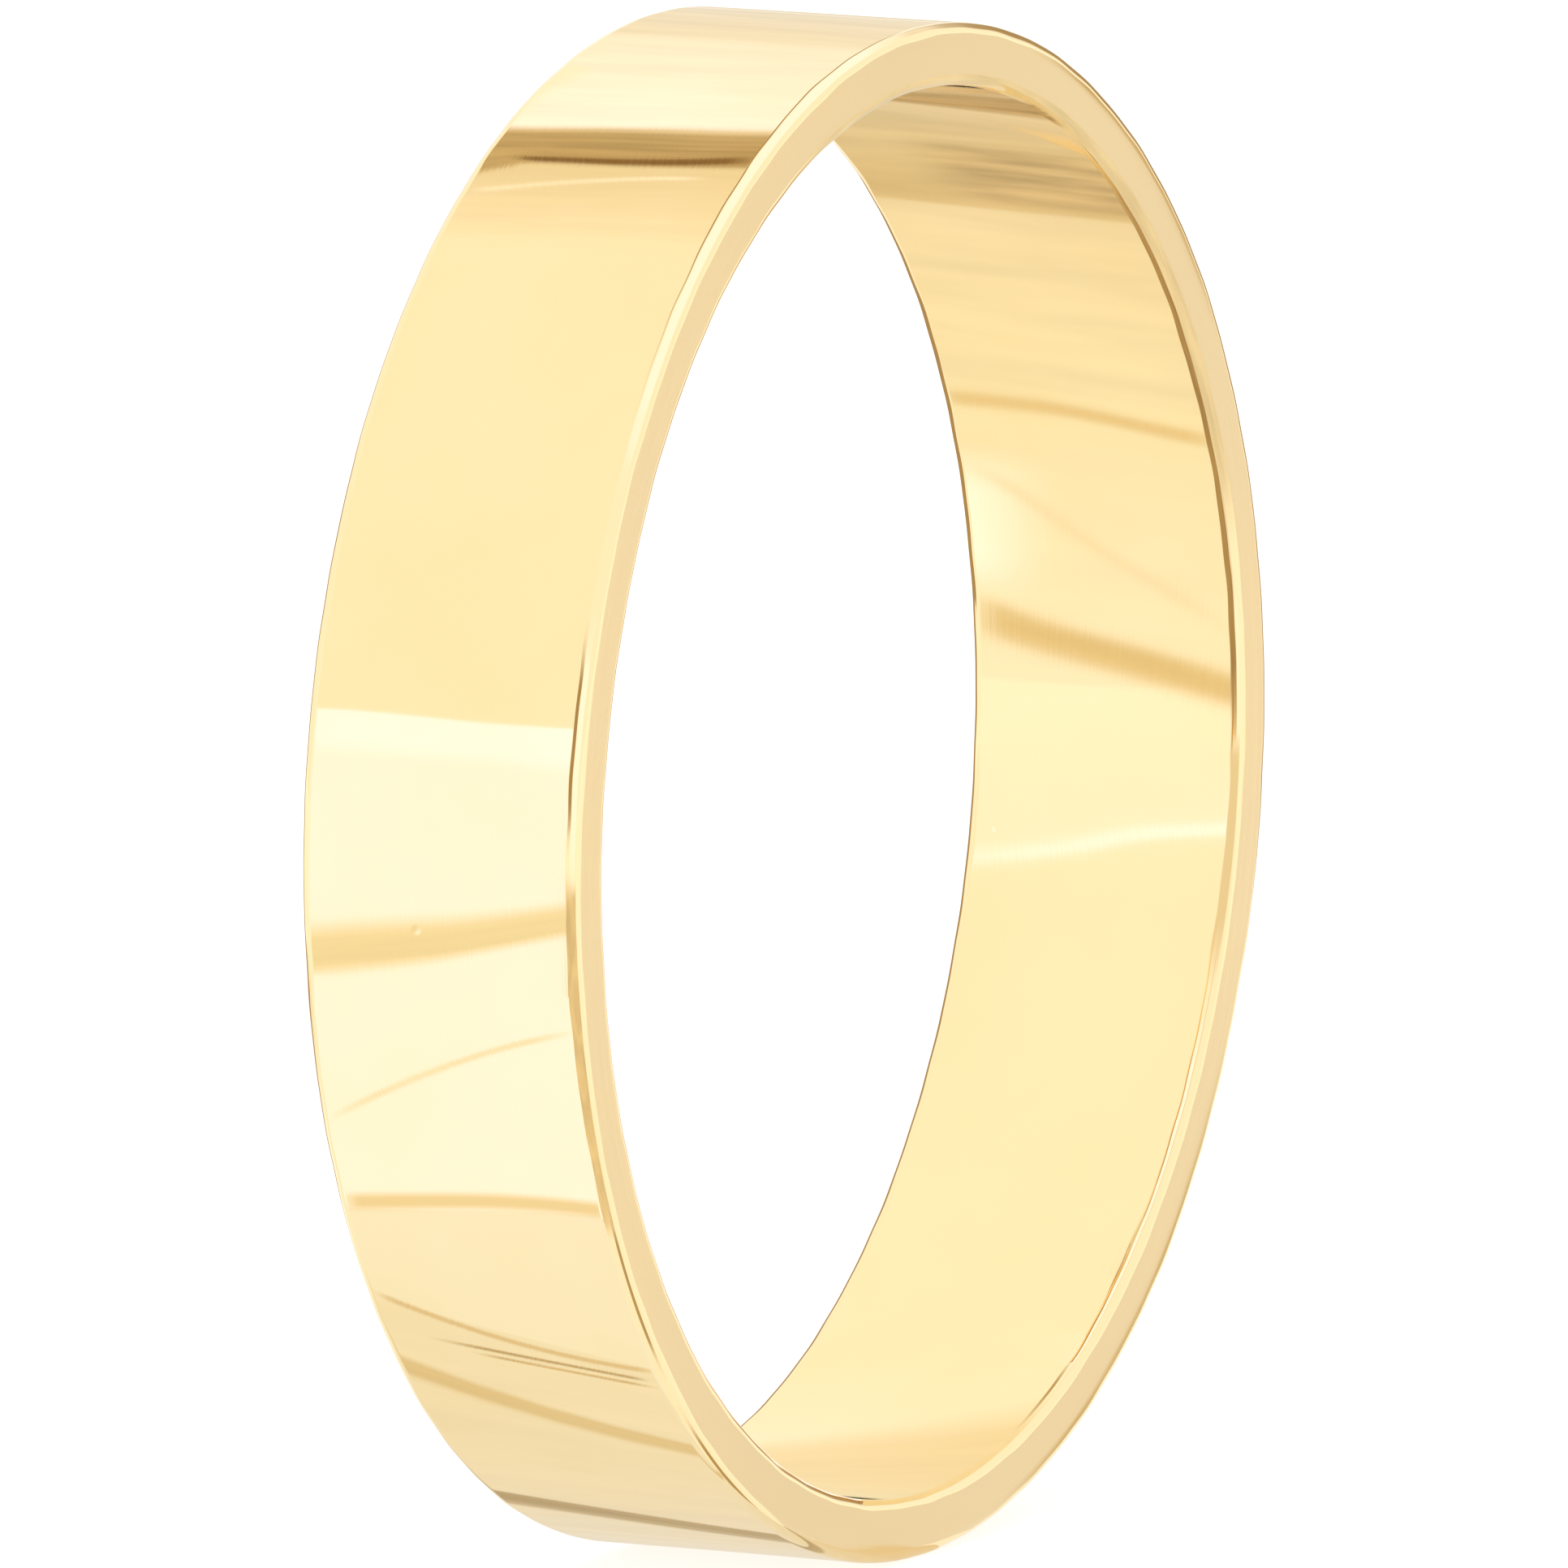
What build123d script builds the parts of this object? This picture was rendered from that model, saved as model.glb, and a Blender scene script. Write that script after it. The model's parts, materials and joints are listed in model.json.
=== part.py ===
from build123d import *
import os
from math import pi

# Plain gold wedding band: one solid ring of flat section, flat inside and out.
#
# Frame: the origin is the centre of the finger bore, +Y runs along the bore and
# +Z is up, so the band stands on its rim. Millimetres.

# ---- Driving dimensions -------------------------------------------------------
ring_size = 58.0        # ISO 8653 size, the circumference of the bore
band_width = 4.0        # along the bore, from one side face to the other
wall_thickness = 0.84   # from the bore to the outer face
edge_radius = 0.15      # rounding of all four edges of the section

# ---- Worked out from them -----------------------------------------------------
bore_radius = ring_size / (2 * pi)
middle_radius = bore_radius + wall_thickness / 2


def make_band():
    """The band: its rounded rectangular section turned once about the bore's axis."""
    section = Pos(X=middle_radius) * RectangleRounded(wall_thickness, band_width, edge_radius)
    return revolve(section, axis=Axis.Y)


os.makedirs("parts", exist_ok=True)
export_step(make_band(), "parts/band.step")
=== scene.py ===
import json
import math

import bpy
from mathutils import Matrix, Vector

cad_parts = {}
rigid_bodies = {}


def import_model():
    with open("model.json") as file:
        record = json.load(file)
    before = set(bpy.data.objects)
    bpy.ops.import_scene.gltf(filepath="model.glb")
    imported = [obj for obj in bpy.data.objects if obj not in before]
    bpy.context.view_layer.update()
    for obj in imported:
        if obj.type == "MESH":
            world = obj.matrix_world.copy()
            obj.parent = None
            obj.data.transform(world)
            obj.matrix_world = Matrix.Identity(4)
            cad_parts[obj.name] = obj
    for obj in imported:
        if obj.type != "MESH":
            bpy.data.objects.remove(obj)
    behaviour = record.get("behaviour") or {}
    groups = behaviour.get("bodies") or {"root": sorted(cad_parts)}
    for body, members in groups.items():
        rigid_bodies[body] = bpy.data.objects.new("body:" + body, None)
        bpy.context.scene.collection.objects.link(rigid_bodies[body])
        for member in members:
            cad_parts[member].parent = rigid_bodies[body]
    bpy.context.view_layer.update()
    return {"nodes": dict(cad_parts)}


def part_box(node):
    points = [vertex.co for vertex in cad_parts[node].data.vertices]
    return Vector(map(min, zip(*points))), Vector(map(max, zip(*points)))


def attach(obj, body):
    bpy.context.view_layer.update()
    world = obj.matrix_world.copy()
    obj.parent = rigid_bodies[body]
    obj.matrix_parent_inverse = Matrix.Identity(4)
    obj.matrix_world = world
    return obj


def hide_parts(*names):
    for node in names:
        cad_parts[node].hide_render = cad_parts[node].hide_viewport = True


# Plain gold wedding band, standing on its rim on a pale floor. Metres. The bore runs
# along Y, so places around the band are given as an angle in degrees in the XZ plane,
# from +X towards +Z. The near side face is the one towards -Y.

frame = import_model()

MM = 0.001
SAME_PLANE = 0.001 * MM           # points this close to the side face's plane are on it

section = [(math.hypot(v.co.x, v.co.z), abs(v.co.y)) for v in frame["nodes"]["band"].data.vertices]
OUTER_RADIUS = max(radius for radius, _ in section)
BORE_RADIUS = min(radius for radius, _ in section)
HALF_WIDTH = max(y for _, y in section)
SIDE_FACE_TOP = max(radius for radius, y in section if y > HALF_WIDTH - SAME_PLANE)
EDGE_RADIUS = OUTER_RADIUS - SIDE_FACE_TOP
FLOOR_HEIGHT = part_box("band")[0].z


# ---- Camera -----------------------------------------------------------------------

CAMERA_AZIMUTH = math.radians(-63.15)
CAMERA_HEIGHT_ANGLE = math.radians(8.08)
CAMERA_DISTANCE = 440 * MM
FRAME_WIDTH = 20.48 * MM          # what the frame spans at the band
SENSOR_WIDTH = 36.0
AIM_LEFT = 0.0054 * FRAME_WIDTH   # the band stands a little right of the middle
CLIP_START = 10 * MM
CLIP_END = 20.0


def add_camera():
    """A long lens, nearly level, that sees the outer face, one side face and the bore."""
    back = Vector((math.sin(CAMERA_AZIMUTH) * math.cos(CAMERA_HEIGHT_ANGLE),
                   -math.cos(CAMERA_AZIMUTH) * math.cos(CAMERA_HEIGHT_ANGLE),
                   math.sin(CAMERA_HEIGHT_ANGLE)))
    right = Vector((math.cos(CAMERA_AZIMUTH), math.sin(CAMERA_AZIMUTH), 0))
    data = bpy.data.cameras.new("camera")
    data.sensor_width = SENSOR_WIDTH
    data.lens = SENSOR_WIDTH * CAMERA_DISTANCE / FRAME_WIDTH
    data.clip_start = CLIP_START
    data.clip_end = CLIP_END
    camera = bpy.data.objects.new("camera", data)
    bpy.context.scene.collection.objects.link(camera)
    place = Matrix((right, back.cross(right), back)).transposed().to_4x4()
    place.translation = back * CAMERA_DISTANCE - right * AIM_LEFT
    camera.matrix_world = place
    bpy.context.scene.camera = camera


# ---- The band ---------------------------------------------------------------------

AROUND = 640              # sections round the band
ARC_STEPS = 8             # steps across each rounded edge
FACE_STEPS = 20           # across the outer face and the bore
SIDE_STEPS = 5            # across a side face
HOLDING = 0.012 * MM      # loops this close to each rounding keep the flat faces flat
HAND_WAVE = 0.006 * MM    # how far hand polishing leaves the faces from true
EDGE_WANDER = 0.14        # how much the rounding of an edge varies, of its radius

# waves of the hand-polished surface: lobes around the band, turns along its width, phase
FACE_WAVES = [(5, 0.3, 0.4), (9, -0.5, 2.1), (14, 0.8, 4.4), (23, -1.1, 1.2)]
# the same for the roundings of the edges, without the turns
EDGE_WAVES = [(7, 0.9), (13, 3.3), (22, 5.1), (41, 0.2), (67, 2.6)]
# phases that keep the bore, the side faces and the four edges from waving alike
BORE_SHIFT = 1.9
SIDE_SHIFT = 3.1
EDGE_SHIFT = 1.7


def hand_wave(turn, y, shift):
    """How far the surface is off true here, from its few slow waves."""
    total = 0
    for lobes, twist, phase in FACE_WAVES:
        along = twist * math.pi * y / HALF_WIDTH
        total += math.sin(lobes * turn + along + phase + shift) / lobes
    return HAND_WAVE * total / sum(1 / lobes for lobes, _, _ in FACE_WAVES)


def edge_radius(turn, edge):
    """The rounding of one of the four edges, a little uneven around the band."""
    total = sum(math.sin(lobes * turn + phase + EDGE_SHIFT * edge) for lobes, phase in EDGE_WAVES)
    return EDGE_RADIUS * (1 - EDGE_WANDER / 2 + EDGE_WANDER * total / len(EDGE_WAVES))


def flat_run(start, end, steps):
    """Points along a flat of the section, with a holding loop next to each end."""
    run = [start, start + (end - start).normalized() * HOLDING]
    run += [start.lerp(end, i / steps) for i in range(1, steps)]
    run += [end + (start - end).normalized() * HOLDING]
    return run


def section_points(turn):
    """The band's section there as (radius, y), once round the rounded rectangle."""
    corner_signs = [(1, 1), (-1, 1), (-1, -1), (1, -1)]
    points = []
    for quarter, (outward, side) in enumerate(corner_signs):
        e = edge_radius(turn, quarter)
        wall_side = OUTER_RADIUS if outward > 0 else BORE_RADIUS
        centre = (wall_side - outward * e, side * (HALF_WIDTH - e))
        arc = []
        for step in range(ARC_STEPS + 1):
            lean = math.pi / 2 * (quarter + step / ARC_STEPS)
            arc.append(Vector((centre[0] + e * math.cos(lean), centre[1] + e * math.sin(lean))))
        if points:
            steps = SIDE_STEPS if quarter % 2 else FACE_STEPS
            points += flat_run(points.pop(), arc[0], steps)
        points += arc
    return points[:-1] + flat_run(points[-1], points[0], FACE_STEPS)


def section_marks():
    """For each point of the section, how much it is side face, bore and rounded edge."""
    side_run = SIDE_STEPS + 2
    face_run = FACE_STEPS + 2
    marks = []
    for quarter in range(4):
        marks += [(0.5, 0.5, 1.0)] * ARC_STEPS
        if quarter % 2 == 0:
            marks += [(1.0, 0.0, 0.0)] * side_run
        elif quarter == 1:
            marks += [(0.0, 1.0, 0.0)] * face_run
        else:
            marks += [(0.0, 0.0, 0.0)] * face_run
    return marks


def band_points():
    """Every section round the band, waved, and drawn in so that it stays inside the CAD."""
    points = []
    for i in range(AROUND):
        turn = 2 * math.pi * i / AROUND
        squeeze = 1 - (HAND_WAVE + hand_wave(turn, 0, SIDE_SHIFT)) / HALF_WIDTH
        for radius, y in section_points(turn):
            if radius > (OUTER_RADIUS + BORE_RADIUS) / 2:
                radius += hand_wave(turn, y, 0) - HAND_WAVE
            else:
                radius += hand_wave(turn, y, BORE_SHIFT) + HAND_WAVE
            points.append((radius * math.cos(turn), y * squeeze, radius * math.sin(turn)))
    return points


def band_faces(n):
    """Quads between each section of n points and the next."""
    faces = []
    for i in range(AROUND):
        j = (i + 1) % AROUND
        for k in range(n):
            m = (k + 1) % n
            faces.append((i * n + k, i * n + m, j * n + m, j * n + k))
    return faces


def make_band():
    """The whole band, one closed mesh, with the marks that its material reads."""
    verts = band_points()
    faces = band_faces(len(verts) // AROUND)
    mesh = bpy.data.meshes.new("gold_band")
    mesh.from_pydata(verts, [], faces)
    mesh.polygons.foreach_set("use_smooth", [True] * len(faces))
    for place, name in enumerate(("side_face", "bore", "edge")):
        values = [mark[place] for mark in section_marks()]
        attribute = mesh.attributes.new(name, "FLOAT", "POINT")
        attribute.data.foreach_set("value", values * AROUND)
    mesh.update()
    band = bpy.data.objects.new("gold_band", mesh)
    bpy.context.scene.collection.objects.link(band)
    return band


# ---- Node helpers -----------------------------------------------------------------

class Nodes:
    """A short way to write a material's node tree."""

    def __init__(self, name):
        self.material = bpy.data.materials.new(name)
        self.material.use_nodes = True
        self.tree = self.material.node_tree
        self.tree.nodes.clear()

    def add(self, kind, **inputs):
        """A node of that kind, each named input set to a value or linked from a socket."""
        node = self.tree.nodes.new("ShaderNode" + kind)
        for name, value in inputs.items():
            self.put(node, name.replace("_", " "), value)
        return node

    def put(self, node, name, value):
        """Sets or links the input of that name, or of that number when it is n0, n1, n2."""
        numbered = name[0] == "n" and name[1:].isdigit()
        socket = node.inputs[int(name[1:]) if numbered else name]
        if isinstance(value, bpy.types.NodeSocket):
            self.tree.links.new(value, socket)
        else:
            socket.default_value = value

    def math(self, operation, first, second=0.0, third=0.0):
        """The result of one Math node."""
        node = self.add("Math", n0=first, n1=second, n2=third)
        node.operation = operation
        return node.outputs[0]

    def fade(self, value, start, end, low=0.0, high=1.0):
        """Low up to start, high from end, and a smooth change between them."""
        node = self.add("MapRange", Value=value, From_Min=start, From_Max=end,
                        To_Min=low, To_Max=high)
        node.interpolation_type = "SMOOTHSTEP"
        return node.outputs[0]

    def attribute(self, name):
        """The node that reads a value stored on the mesh's points."""
        node = self.add("Attribute")
        node.attribute_name = name
        return node

    def noise(self, place, scale, detail=2.0, roughness=0.5):
        """Smooth noise from 0 to 1, read at that place."""
        node = self.add("TexNoise", Vector=place, Scale=scale, Detail=detail, Roughness=roughness)
        return node.outputs["Fac"]

    def mix_colour(self, factor, first, second):
        """The first colour where the factor is 0, the second where it is 1."""
        node = self.add("Mix")
        node.data_type = "RGBA"
        for name, value in (("Factor", factor), ("A", first), ("B", second)):
            self.put(node, name, value)
        return node.outputs["Result"]

    def surface(self, shader):
        """Ends the tree with that shader and hands back the material."""
        self.add("OutputMaterial", Surface=shader)
        return self.material


# ---- The gold ---------------------------------------------------------------------

GOLD = (0.97, 0.75, 0.41, 1)
GOLD_WARM = (0.965, 0.735, 0.385, 1)
GOLD_EDGE = (0.975, 0.765, 0.44, 1)
EDGE_PALENESS = 0.7
WARM_START, WARM_END = 0.35, 0.70     # where in the blotches the warmer shade comes in

LINE_SPACING = 0.045 * MM         # polishing lines, which run round the band
ALONG_SCALE = 260                 # noise cells per metre along the band, so lines are long
COARSE_LINES = 0.22               # scale of the coarse set, against the fine one
WAVE_SPACING = 2.2 * MM           # the slow ripple that a polishing mop leaves
BLOTCH_SPACING = 3.4 * MM
NICK_SPACING = 1.9 * MM
NICK_RADIUS = 0.045               # of the spacing
NICKS_FROM, NICKS_TO = 0.70, 0.72     # the cells above this have a nick

LINE_DEPTH = 0.00012 * MM
SIDE_LINE_EXTRA = 5.0             # the lines are this many depths deeper on the side faces
WAVE_DEPTH = 0.0011 * MM
NICK_DEPTH = 0.0012 * MM

ROUGHNESS = 0.042                 # of the outer face's mirror polish
BORE_ROUGHER = 0.018
SIDE_ROUGHER = 0.06
EDGE_SMOOTHER = -0.02
ROUGHNESS_SPREAD = 0.05
LEAST_ROUGHNESS = 0.02


def polishing_lanes(n, place):
    """Coordinates drawn out along the band, so that noise read there runs in fine lines."""
    split = n.add("SeparateXYZ", Vector=place).outputs
    radial = n.add("CombineXYZ", X=split["X"], Z=split["Z"]).outputs[0]
    length = n.add("VectorMath", n0=radial)
    length.operation = "LENGTH"
    across = n.math("ADD", length.outputs["Value"], split["Y"])
    return n.add("CombineXYZ", X=n.math("MULTIPLY", split["X"], ALONG_SCALE),
                 Y=n.math("DIVIDE", across, LINE_SPACING),
                 Z=n.math("MULTIPLY", split["Z"], ALONG_SCALE)).outputs[0]


def nicks(n, place):
    """Small round nicks from wear, only in some of the cells."""
    cells = n.add("TexVoronoi", Vector=place, Scale=1 / NICK_SPACING, Randomness=1.0).outputs
    draw = n.add("SeparateColor", Color=cells["Color"]).outputs[0]
    chosen = n.fade(draw, NICKS_FROM, NICKS_TO)
    return n.math("MULTIPLY", n.fade(cells["Distance"], 0.0, NICK_RADIUS, 1.0, 0.0), chosen)


def gold_roughness(n, marks, lines, blotch):
    """Mirror outside, softer in the bore, satin lines on the side faces."""
    side, bore, edge = marks
    base = n.math("MULTIPLY_ADD", bore, BORE_ROUGHER, ROUGHNESS)
    base = n.math("MULTIPLY_ADD", side, SIDE_ROUGHER, base)
    for pattern in (lines, blotch):
        base = n.math("MULTIPLY_ADD", n.math("SUBTRACT", pattern, 0.5), ROUGHNESS_SPREAD, base)
    return n.math("MAXIMUM", n.math("MULTIPLY_ADD", edge, EDGE_SMOOTHER, base), LEAST_ROUGHNESS)


def gold_colour(n, marks, broad, blotch):
    """A shade warmer where the alloy is less polished, paler on the edges."""
    side, _, edge = marks
    tone = n.mix_colour(n.fade(blotch, WARM_START, WARM_END), GOLD, GOLD_WARM)
    tone = n.mix_colour(n.math("MULTIPLY", broad, side), tone, GOLD_WARM)
    return n.mix_colour(n.math("MULTIPLY", edge, EDGE_PALENESS), tone, GOLD_EDGE)


def gold_relief(n, side, lines, place):
    """Lines, the mop's ripple and nicks, as a height in metres."""
    ripple = n.noise(place, 1 / WAVE_SPACING, detail=1.0)
    depth = n.math("MULTIPLY", n.math("SUBTRACT", lines, 0.5), LINE_DEPTH)
    depth = n.math("MULTIPLY", depth, n.math("MULTIPLY_ADD", side, SIDE_LINE_EXTRA, 1.0))
    depth = n.math("MULTIPLY_ADD", n.math("SUBTRACT", ripple, 0.5), WAVE_DEPTH, depth)
    return n.math("MULTIPLY_ADD", nicks(n, place), -NICK_DEPTH, depth)


def gold():
    """Mirror polish outside, a little softer in the bore, finely lined on the side faces."""
    n = Nodes("polished_gold")
    place = n.add("TexCoord").outputs["Object"]
    marks = [n.attribute(name).outputs["Fac"] for name in ("side_face", "bore", "edge")]
    lanes = polishing_lanes(n, place)
    lines = n.noise(lanes, 1.0, detail=3.0, roughness=0.6)
    broad = n.noise(lanes, COARSE_LINES, detail=1.0)
    blotch = n.noise(place, 1 / BLOTCH_SPACING, detail=3.0, roughness=0.6)
    relief = gold_relief(n, marks[0], lines, place)
    bump = n.add("Bump", Height=relief, Distance=1.0, Strength=1.0)
    shader = n.add("BsdfPrincipled", Base_Color=gold_colour(n, marks, broad, blotch), Metallic=1.0,
                   Roughness=gold_roughness(n, marks, lines, blotch), Normal=bump.outputs[0])
    return n.surface(shader.outputs[0])


# ---- Studio -----------------------------------------------------------------------

# The world and the floor are plain and soft. The cards and flags are not: mirrored()
# places them from where the main camera stands, so that the band mirrors each one in a
# chosen place in that view. They make nearly all the bands, lines and shades seen there.
# From elsewhere the band mirrors other parts of them, and the exported model has none.
# Without the calls to add_outer_cards, add_bore_cards, add_side_cards, add_edge_cards and
# add_flags near the end, the band is an even pale gold with one horizon line.

SKY_STRENGTH = 1.13
FLOOR_SIZE = 8.0
FLOOR_GREY = 0.35
FLOOR_ROUGHNESS = 0.6
FLOOR_GLOW = 0.72
FLOOR_LIFT = 0.005 * MM           # keeps cards that lie on the floor clear of it and each other

CARD_ROWS = 36
CARD_COLUMNS = 8
STREAKS_ALONG = 9.0               # noise cells along a card's length and across it
STREAKS_ACROSS = 1.3
NOISE_LOW, NOISE_HIGH = 0.25, 0.75    # most of the noise lies between these


def add_world():
    """Soft white light from all round."""
    world = bpy.data.worlds.new("studio")
    bpy.context.scene.world = world
    world.use_nodes = True
    background = world.node_tree.nodes["Background"]
    background.inputs["Color"].default_value = (1, 1, 1, 1)
    background.inputs["Strength"].default_value = SKY_STRENGTH


def add_floor():
    """A pale floor, lit a little from below like a light table, so it stays near white."""
    half = FLOOR_SIZE / 2
    mesh = bpy.data.meshes.new("floor")
    mesh.from_pydata([(-half, -half, 0), (half, -half, 0), (half, half, 0), (-half, half, 0)],
                     [], [(0, 1, 2, 3)])
    floor = bpy.data.objects.new("floor", mesh)
    floor.location.z = FLOOR_HEIGHT
    bpy.context.scene.collection.objects.link(floor)
    n = Nodes("floor_white")
    shader = n.add("BsdfPrincipled", Base_Color=(FLOOR_GREY, FLOOR_GREY, FLOOR_GREY, 1),
                   Roughness=FLOOR_ROUGHNESS, Emission_Color=(1, 1, 1, 1),
                   Emission_Strength=FLOOR_GLOW)
    mesh.materials.append(n.surface(shader.outputs[0]))


def surface_point(surface, angle, across):
    """The point and normal there.

    Across runs from 0 to 1: on the outer face and the bore from the far edge to the near
    edge, on the side face from the bore out, and on an edge from its face to the side face.
    """
    turn = math.radians(angle)
    out = Vector((math.cos(turn), 0, math.sin(turn)))
    near = Vector((0, -1, 0))
    y = HALF_WIDTH * (1 - 2 * across)
    if surface == "outer":
        return out * OUTER_RADIUS + Vector((0, y, 0)), out
    if surface == "bore":
        return out * BORE_RADIUS + Vector((0, y, 0)), -out
    if surface == "side":
        radius = BORE_RADIUS + (OUTER_RADIUS - BORE_RADIUS) * across
        return out * radius + near * HALF_WIDTH, near
    facing = out if "outer" in surface else -out
    lean = across * math.pi / 2
    normal = facing * math.cos(lean) + near * math.sin(lean)
    wall = OUTER_RADIUS if "outer" in surface else BORE_RADIUS
    centre = out * wall - facing * EDGE_RADIUS + near * (HALF_WIDTH - EDGE_RADIUS)
    return centre + normal * EDGE_RADIUS, normal


def mirrored(surface, angle, across, reach, lift):
    """Where the camera's line of sight gets to, reach after the band mirrors it there."""
    point, normal = surface_point(surface, angle, across)
    view = (bpy.context.scene.camera.matrix_world.translation - point).normalized()
    ray = 2 * normal.dot(view) * normal - view
    if ray.z < 0:
        to_floor = (point.z - FLOOR_HEIGHT - lift) / -ray.z
        reach = max(0, min(reach, to_floor))
    return point + ray * reach


def mark_places(mesh, places):
    """Stores how far across and along its card each point is, for the card's material."""
    attribute = mesh.attributes.new("place", "FLOAT_VECTOR", "POINT")
    attribute.data.foreach_set("vector", [value for place in places for value in place])


def card_mesh(name, surface, start, end, across, bow, reach, lift):
    """A grid that the band mirrors between two lines across it, bowed if asked."""
    verts = []
    places = []
    for i in range(CARD_ROWS + 1):
        for j in range(CARD_COLUMNS + 1):
            v = i / CARD_ROWS
            u = j / CARD_COLUMNS
            w = across[0] + (across[1] - across[0]) * u
            low = start[0] + (start[1] - start[0]) * w
            high = end[0] + (end[1] - end[0]) * w
            angle = low + (high - low) * v + bow * 4 * w * (1 - w)
            verts.append(mirrored(surface, angle, w, reach, lift))
            places.append((u, v, 0))
    n = CARD_COLUMNS + 1
    faces = [(i * n + j, i * n + j + 1, (i + 1) * n + j + 1, (i + 1) * n + j)
             for i in range(CARD_ROWS) for j in range(CARD_COLUMNS)]
    mesh = bpy.data.meshes.new(name)
    mesh.from_pydata(verts, [], faces)
    mark_places(mesh, places)
    return mesh


def faded_borders(n, split, fade, ends):
    """1 inside a card and 0 at the borders that fade, or None when none of them does."""
    solid = None
    for value, (low, high) in ((split["Y"], fade), (split["X"], ends)):
        if low:
            rise = n.fade(value, 0.0, low)
            solid = n.math("MULTIPLY", 1.0 if solid is None else solid, rise)
        if high:
            fall = n.fade(value, 1 - high, 1.0, 1.0, 0.0)
            solid = n.math("MULTIPLY", 1.0 if solid is None else solid, fall)
    return solid


def card_material(name, colours, fade, ends, streaks, seed):
    """A soft glow from one colour to the other, streaky if asked, with faded borders.

    Its emission isn't sampled as a lamp, because only mirrored rays meet the cards.
    """
    n = Nodes(name)
    split = n.add("SeparateXYZ", Vector=n.attribute("place").outputs["Vector"]).outputs
    colour = n.mix_colour(split["Y"], (*colours[0], 1), (*colours[-1], 1))
    strength = 1.0
    if streaks:
        lanes = n.add("CombineXYZ", X=n.math("MULTIPLY", split["X"], STREAKS_ACROSS),
                      Y=n.math("MULTIPLY", split["Y"], STREAKS_ALONG), Z=float(seed)).outputs[0]
        pattern = n.noise(lanes, 1.0, detail=3.0, roughness=0.6)
        strength = n.fade(pattern, NOISE_LOW, NOISE_HIGH, 1 - streaks, 1 + streaks)
    glow = n.add("Emission", Color=colour, Strength=strength).outputs[0]
    solid = faded_borders(n, split, fade, ends)
    if solid is not None:
        clear = n.add("BsdfTransparent").outputs[0]
        glow = n.add("MixShader", Fac=solid, n1=clear, n2=glow).outputs[0]
    material = n.surface(glow)
    material.cycles.emission_sampling = "NONE"
    return material


def stage_for_gloss(name, mesh):
    """Stands a card or flag in the studio, where only the polished gold shows it."""
    piece = bpy.data.objects.new(name, mesh)
    bpy.context.scene.collection.objects.link(piece)
    piece.visible_camera = False
    piece.visible_diffuse = False
    piece.visible_shadow = False
    piece.visible_transmission = False


def card(name, surface, start, end, *colours, reach=60, fade=(0, 0), ends=(0, 0),
         across=(-0.4, 1.4), bow=0, streaks=0, order=1):
    """A glowing studio card that only shows as a reflection in the polished gold.

    The band mirrors it between start and end, each given in degrees, where across is 0
    and where it is 1. Reach is how far off it stands, in millimetres, unless the floor is
    nearer. The colours go from start to end. Fade says how much of the card fades out at
    start and at end, and ends the same for its two ends across the band. Bow bends it, in
    degrees, streaks is how much its light varies, and cards of higher order lie on top of
    the others where they lie on the floor.
    """
    lift = order * FLOOR_LIFT
    seed = len(bpy.data.objects)
    mesh = card_mesh(name, surface, start, end, across, bow, reach * MM, lift)
    mesh.materials.append(card_material(name, colours, fade, ends, streaks, seed))
    stage_for_gloss(name, mesh)


CREAM = (1.25, 1.285, 1.66)
FOOT = (0.88, 0.87, 0.82)
BORE_LIGHT = (1.13, 1.16, 1.17)
RIM_SHADE = (0.62, 0.50, 0.30)
SHADE = (0.44, 0.32, 0.17)


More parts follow.
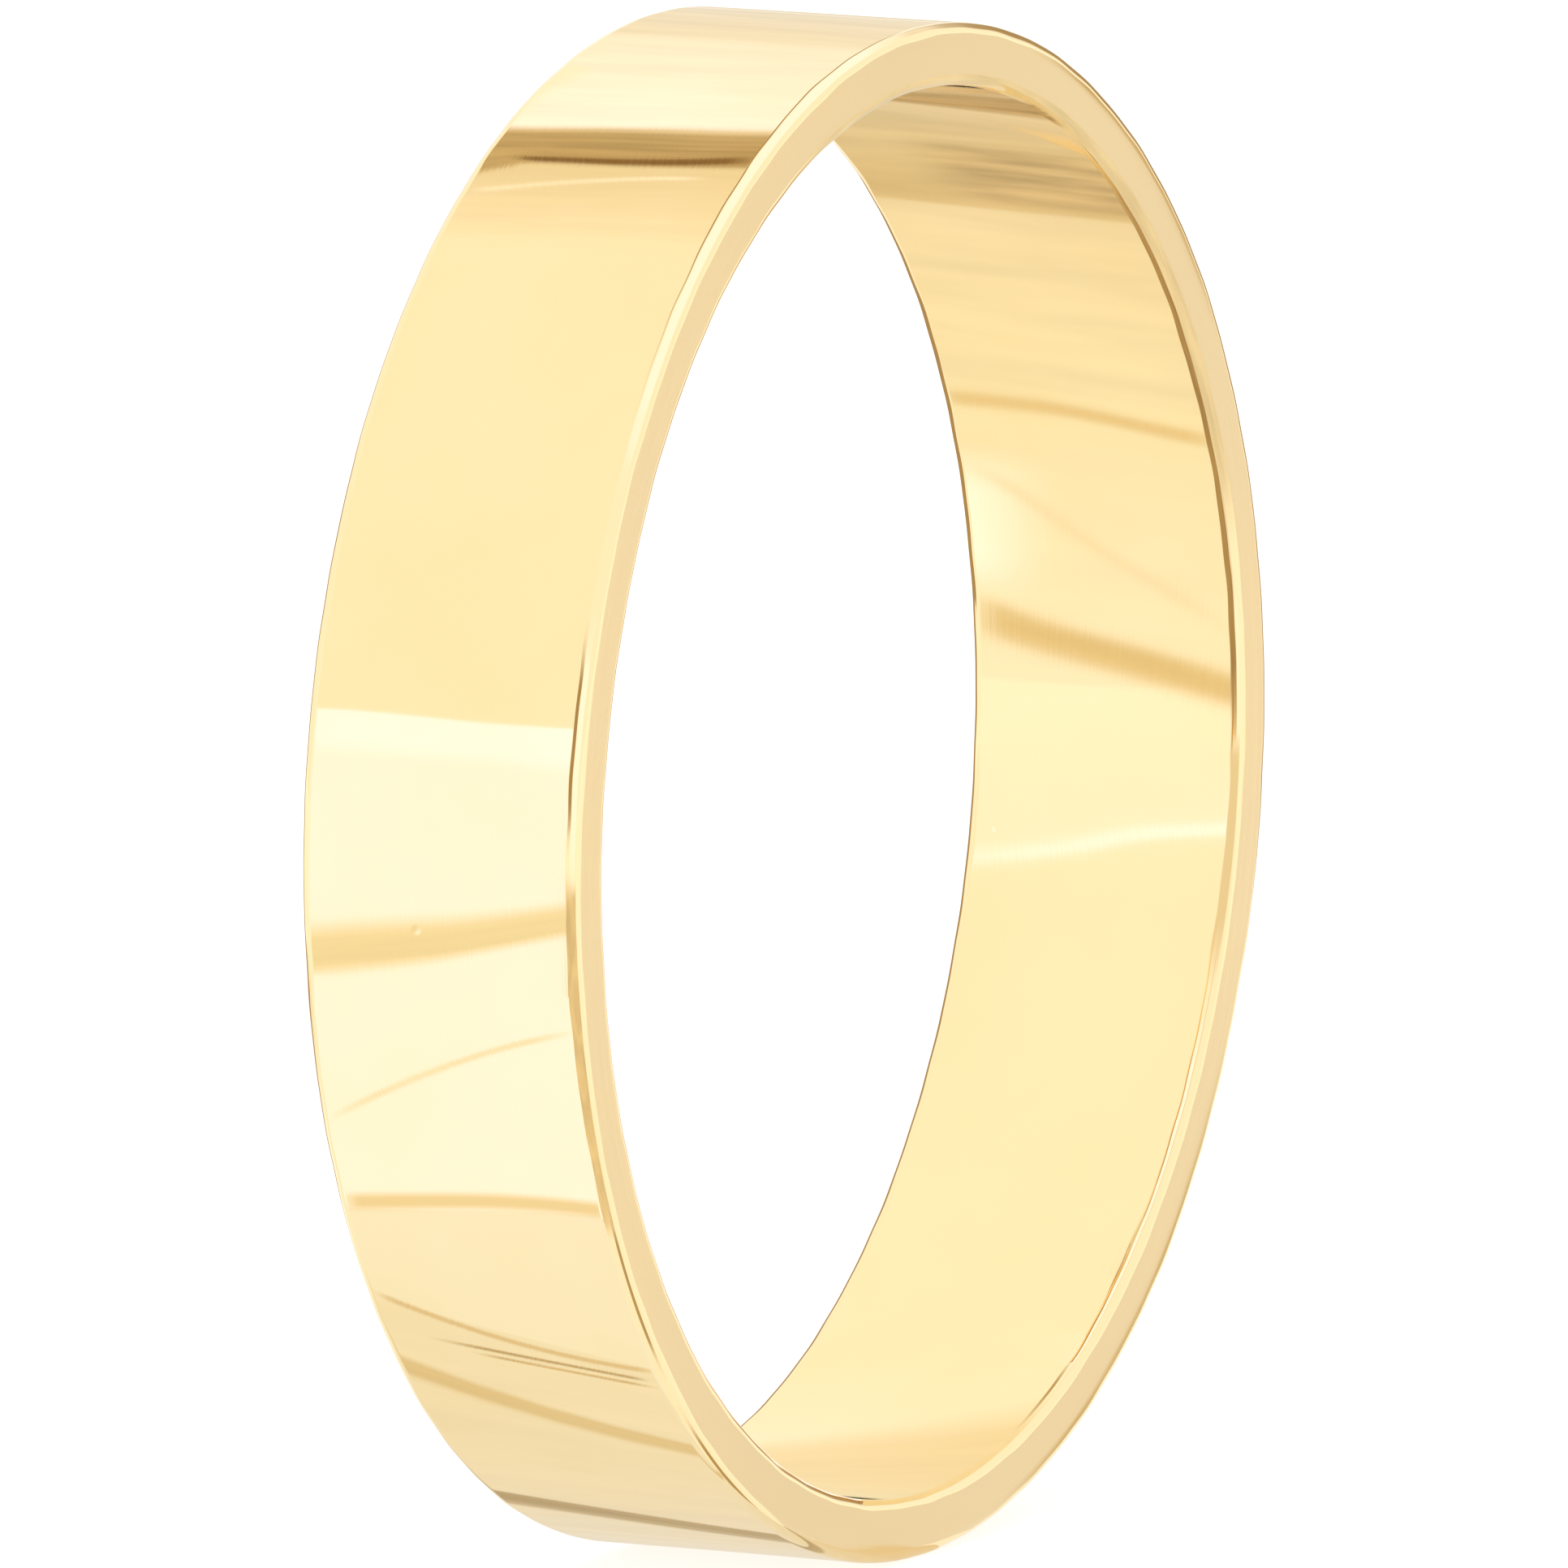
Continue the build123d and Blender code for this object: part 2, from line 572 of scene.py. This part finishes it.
def add_outer_cards():
    """What the outer face mirrors, from its top down to its foot."""
    card("haze_top", "outer", (79, 79), (86, 86), (0.80, 0.68, 0.46), (0.88, 0.79, 0.62), reach=64,
         across=(-0.05, 1.4), streaks=0.05)
    card("haze", "outer", (85, 85), (101, 101), (0.88, 0.80, 0.64), (0.98, 0.98, 0.92), reach=62,
         across=(-0.05, 1.4), fade=(0.15, 0.2), streaks=0.05)
    card("top_cream", "outer", (98, 98), (116.4, 114.6), (1.02, 1.06, 1.02), (1.25, 1.28, 1.6),
         reach=60, across=(-0.05, 1.4), fade=(0.3, 0), streaks=0.05)
    card("dark_band", "outer", (115.5, 114.1), (121.0, 120.0), (0.66, 0.55, 0.36), (0.50, 0.38, 0.22),
         reach=26, fade=(0.26, 0.12), streaks=0.22, bow=0.1)
    card("dark_end", "outer", (118.6, 115.6), (122.9, 111.5), (0.62, 0.50, 0.31), reach=24,
         fade=(0.3, 0.15), across=(-0.1, 0.28), ends=(0, 0.3), streaks=0.15)
    card("dark_line", "outer", (119.7, 117.9), (120.3, 119.2), (0.26, 0.16, 0.07), reach=22,
         fade=(0.3, 0.3), ends=(0.12, 0.12), across=(0.1, 1.0), bow=0.5, streaks=0.3)
    card("under_dark", "outer", (120.7, 119.4), (131, 130), (0.92, 0.87, 0.72), (1.12, 1.13, 1.12),
         reach=30, fade=(0, 0.3), streaks=0.03)
    card("under_gleam", "outer", (124.2, 120.9), (124.9, 121.5), (1.15, 1.15, 1.2), reach=20,
         fade=(0.4, 0.4), across=(0.05, 0.9), ends=(0.1, 0.2), bow=-0.9)
    card("horizon_cream", "outer", (168.1, 168.1), (184.6, 184.6), CREAM, reach=70)
    card("horizon_gleam", "outer", (168.1, 168.1), (171.8, 171.8), (1.3, 1.36, 1.9), reach=66,
         fade=(0, 0.5))
    card("tan_band", "outer", (183.3, 180.1), (188.3, 183.4), (0.99, 0.98, 0.83), (0.97, 0.95, 0.79),
         reach=24, fade=(0.4, 0.25), streaks=0.05, bow=0.1)
    card("low_cream", "outer", (184.6, 184.6), (207.5, 205.5), CREAM, order=2)
    card("hair_line", "outer", (199.0, 190.0), (199.8, 190.7), (1.0, 1.04, 1.0), reach=12,
         fade=(0.4, 0.4), ends=(0.2, 0.2), across=(0, 1), bow=-1.0, order=4)
    card("tan_line", "outer", (204.8, 204.0), (207.0, 206.0), (0.95, 0.90, 0.74), reach=16,
         fade=(0.4, 0.4), ends=(0.1, 0.05), across=(0, 1), bow=-0.4, order=4)
    card("peach", "outer", (206.4, 205.4), (217, 222), (1.03, 1.125, 1.28), (1.0, 1.07, 1.15), order=3)
    card("slant_line", "outer", (213.6, 220.2), (214.5, 220.9), (0.80, 0.71, 0.55), reach=16,
         fade=(0.3, 0.35), across=(0.02, 1.0), ends=(0.1, 0.1), bow=1.2, order=6)
    # Two thin dark cards that the outer face mirrors as fine dark lines: painted reflections of shade,
    # not scratches in the gold.
    card("reflected_shade_line_a", "outer", (217.9, 221.6), (218.4, 222.0), (0.55, 0.45, 0.30), reach=16,
         fade=(0.3, 0.3), across=(0.15, 0.95), ends=(0.3, 0.1), streaks=0.3, order=6)
    card("reflected_shade_line_b", "outer", (218.7, 222.3), (219.1, 222.7), (0.68, 0.57, 0.40), reach=16,
         fade=(0.3, 0.3), across=(0.3, 0.98), ends=(0.2, 0.2), streaks=0.3, order=6)
    card("slant_band", "outer", (220.2, 229.3), (223.6, 232.0), (0.80, 0.73, 0.56), reach=16,
         fade=(0.3, 0.4), bow=0.8, streaks=0.06, order=6)
    card("beige", "outer", (214.8, 220.4), (248, 248), (0.97, 1.01, 1.03), FOOT,
         streaks=0.03, order=4)
    card("foot_beige", "outer", (246, 246), (264, 264), FOOT, (0.84, 0.74, 0.56),
         streaks=0.03, order=3)
    card("grey_band", "outer", (240.0, 246.0), (243.8, 249.4), (0.50, 0.43, 0.32), (0.61, 0.55, 0.44),
         reach=16, fade=(0.15, 0.3), streaks=0.12, order=6)


def add_bore_cards():
    """What the bore mirrors, from its foot up to its top."""
    card("bore_foot", "bore", (-79, -64.5), (-101.5, -101.5), (1.02, 0.99, 0.86), (0.95, 0.80, 0.47),
         reach=0.15, across=(-0.3, 1.02), fade=(0.24, 0), streaks=0.02)
    card("bore_low", "bore", (-62, -62), (-90, -80), BORE_LIGHT, reach=0.4, across=(-0.3, 1.05))
    card("bore_plain", "bore", (-66, -66), (-13, -8.4), BORE_LIGHT, reach=66, across=(-0.4, 1.05))
    card("bore_glint", "bore", (-15.6, -10.4), (-13.8, -8.9), (1.25, 1.36, 1.8), reach=46,
         fade=(0.1, 0.5), bow=0.5)
    card("bore_cream", "bore", (-14.6, -9.6), (1, 1), (1.18, 1.2, 1.3), (1.2, 1.25, 1.36), reach=48)
    card("bore_tan_band", "bore", (4.6, -0.9), (9.4, 3.0), (0.84, 0.73, 0.48), reach=24,
         fade=(0.4, 0.35), across=(0, 1.2), ends=(0.1, 0), bow=-0.4, streaks=0.05)
    card("bore_far_glow", "bore", (7.5, 7.5), (22, 22), (1.25, 1.38, 1.8), reach=54,
         fade=(0.3, 0.4), across=(-0.4, 0.45), ends=(0, 0.6), order=3)
    card("bore_diagonal", "bore", (19.0, 4.5), (20.8, 6.2), (1.0, 0.98, 0.92), reach=20,
         fade=(0.45, 0.45), across=(0, 1), ends=(0.2, 0.2), bow=0.6)
    card("bore_field", "bore", (1, 1), (26, 24), (1.12, 1.17, 1.24), (1.02, 1.05, 0.98), order=2,
         streaks=0.02)
    card("bore_line", "bore", (24.8, 22.6), (26.8, 24.6), (0.88, 0.77, 0.54), reach=40,
         fade=(0.4, 0.4), ends=(0.06, 0.06), across=(0, 1), bow=0.2, order=3)
    card("bore_upper", "bore", (26, 24), (48.8, 47), (1.02, 1.03, 0.95), (0.96, 0.94, 0.84),
         streaks=0.06)
    card("bore_tan", "bore", (48.8, 47), (80, 80), (0.79, 0.70, 0.51), (0.74, 0.70, 0.56),
         streaks=0.1)
    # A streaky brown card that the bore mirrors as a dark patch near its top: a painted reflection of
    # shade, not a blotch on the gold.
    card("bore_reflected_shade_patch", "bore", (49.2, 47.4), (61, 59.5), (0.65, 0.56, 0.42), (0.74, 0.64, 0.45),
         reach=58, fade=(0.12, 0.3), across=(0.2, 1.1), ends=(0.35, 0), streaks=0.3, order=3)
    card("bore_streak", "bore", (68, 58.5), (80, 78), (0.84, 0.77, 0.62), (0.84, 0.70, 0.42),
         reach=0.55, fade=(0.2, 0), across=(-0.1, 1.2), streaks=0.05)
    card("bore_crown", "bore", (70.3, 64.5), (73.7, 73.5), (0.56, 0.42, 0.23), reach=0.45,
         fade=(0.2, 0.3), across=(0.1, 1.05), ends=(0.35, 0.05), streaks=0.3)


def add_side_cards():
    """What the near side face mirrors: a grey board, and shade near its outer rim."""
    card("side_board", "side", (-181, -181), (181, 181), (0.885, 0.875, 0.86), reach=14,
         across=(-0.8, 1.8), streaks=0.03)
    card("rim_shade_low", "side", (-80, -80), (-24, -24), RIM_SHADE, reach=0.8,
         across=(0.74, 0.95), fade=(0.3, 0.3), ends=(0.25, 0))
    card("rim_shade_top", "side", (28, 28), (74, 74), RIM_SHADE, reach=0.8,
         across=(0.75, 0.95), fade=(0.3, 0.3), ends=(0.25, 0))


def add_edge_cards():
    """Dark and bright strips that the edges mirror as fine lines."""
    card("edge_gleam_top", "outer_edge", (94, 94), (152, 152), (1.25, 1.28, 1.55), reach=20,
         across=(0.12, 0.62), fade=(0.15, 0.2))
    card("edge_shade_top", "outer_edge", (92, 92), (146, 146), SHADE, reach=24,
         across=(0.015, 0.09), fade=(0.1, 0.4), ends=(0.2, 0.2))
    card("edge_shade_mid", "outer_edge", (160, 160), (178, 178), SHADE, reach=24,
         across=(0.02, 0.2), fade=(0.3, 0.3), ends=(0.1, 0.1))
    card("edge_gleam_mid", "outer_edge", (160, 160), (180, 180), (1.25, 1.28, 1.5), reach=20,
         across=(0.22, 0.52), fade=(0.2, 0.2))
    card("edge_tan_low", "outer_edge", (178, 178), (208, 208), (0.82, 0.72, 0.52), reach=24,
         across=(0.0, 0.6), fade=(0.1, 0.1), streaks=0.15)
    card("edge_shade_low", "outer_edge", (203, 203), (222, 222), (0.50, 0.39, 0.22), reach=24,
         across=(0.42, 0.62), fade=(0.3, 0.3), ends=(0.2, 0.2))
    card("edge_gleam_foot", "outer_edge", (224, 224), (262, 262), (1.2, 1.15, 1.1), reach=20,
         across=(0.1, 0.4), fade=(0.2, 0.3))
    card("edge_shade_foot", "outer_edge", (224, 224), (262, 262), (0.50, 0.38, 0.20), reach=20,
         across=(0.45, 0.62), fade=(0.2, 0.3))
    card("bore_edge_shade", "bore_edge", (-4, -4), (64, 64), SHADE, reach=1.2,
         across=(0.0, 0.36), fade=(0.12, 0.3), ends=(0.05, 0.15), streaks=0.15)
    card("bore_edge_gleam", "bore_edge", (-6, -6), (12, 12), (1.2, 1.22, 1.3), reach=1.2,
         across=(0.34, 0.6), fade=(0.2, 0.3), ends=(0.1, 0.2))
    card("bore_edge_tan", "bore_edge", (-24, -24), (-2, -2), (0.88, 0.82, 0.66), reach=1.2,
         across=(0.0, 0.6), fade=(0.3, 0.1), ends=(0.1, 0.1))
    card("bore_edge_crown", "bore_edge", (12, 12), (118, 118), (0.86, 0.82, 0.70), reach=0.6,
         across=(0.3, 1.0), fade=(0.1, 0.1), streaks=0.12)
    card("bore_edge_foot", "bore_edge", (-77, -77), (-60, -60), (0.55, 0.42, 0.23), reach=0.25,
         across=(0.02, 0.2), fade=(0.3, 0.3), ends=(0.1, 0.1))


FLAG_GAP = 0.04                   # millimetres between a flag and the floor


def add_flag(name, corners, fade=(0, 0.3), ends=(0.2, 0.2)):
    """A dark brown flag with soft borders. Its corners go round it, in millimetres."""
    mesh = bpy.data.meshes.new(name)
    verts = [[value * MM for value in corner] for corner in corners]
    mesh.from_pydata(verts, [], [(0, 1, 2, 3)])
    mark_places(mesh, [(0, 0, 0), (1, 0, 0), (1, 1, 0), (0, 1, 0)])
    mesh.materials.append(card_material(name, [SHADE], fade, ends, 0, 0))
    stage_for_gloss(name, mesh)


def add_standing_flag(name, first, second, foot, top, **borders):
    """An upright flag over the floor line from the first point to the second."""
    corners = [(*first, foot), (*second, foot), (*second, top), (*first, top)]
    add_flag(name, corners, **borders)


def add_flags():
    """What the silhouettes of the band mirror: they stand and lie to the right and behind."""
    foot = FLOOR_HEIGHT / MM + FLAG_GAP
    add_standing_flag("right_flag", (40, -15), (40, 15), foot, 38, fade=(0.1, 0.4), ends=(0.25, 0.25))
    add_standing_flag("back_flag", (48, 26), (2, 50), foot, 16)
    add_flag("floor_flag", [(3, 12, foot), (130, 76, foot), (90, 110, foot), (-12, 34, foot)],
             fade=(0.03, 0.1), ends=(0.02, 0.1))


band = make_band()
band.data.materials.append(gold())
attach(band, "root")
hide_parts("band")
add_camera()
add_world()
add_floor()
add_outer_cards()
add_bore_cards()
add_side_cards()
add_edge_cards()
add_flags()
bpy.context.scene.view_settings.view_transform = "Standard"
